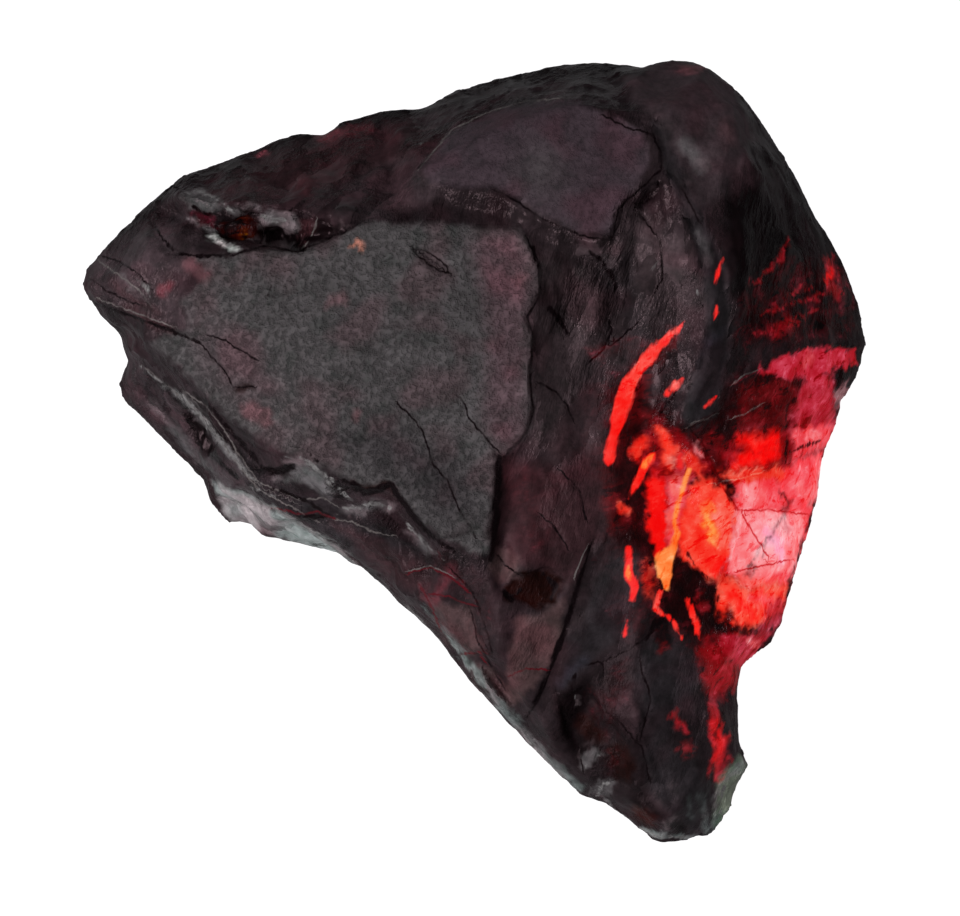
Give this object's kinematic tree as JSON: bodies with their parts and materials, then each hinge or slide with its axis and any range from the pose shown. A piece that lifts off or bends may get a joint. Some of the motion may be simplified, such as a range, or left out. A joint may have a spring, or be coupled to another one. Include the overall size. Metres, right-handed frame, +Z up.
{
  "type": "rough painite crystal",
  "caption": "Rough lump of dark wine-red painite with a matte plateau, hackly broken sides, a thin translucent edge and a flat cleavage face that it rests on.",
  "frame": {"origin": "middle of the footprint, on the surface that the stone rests on", "axes": "+X from the left tip to the right bulge, +Y towards the back, +Z up"},
  "size_m": [0.0362, 0.033, 0.0211],
  "materials": {
    "painite": "broken crystal, dark wine red, glossy with matte cleavage patches, translucent red where thin"
  },
  "bodies": {
    "root": {"painite_stone": "painite"}
  },
  "joints": []
}
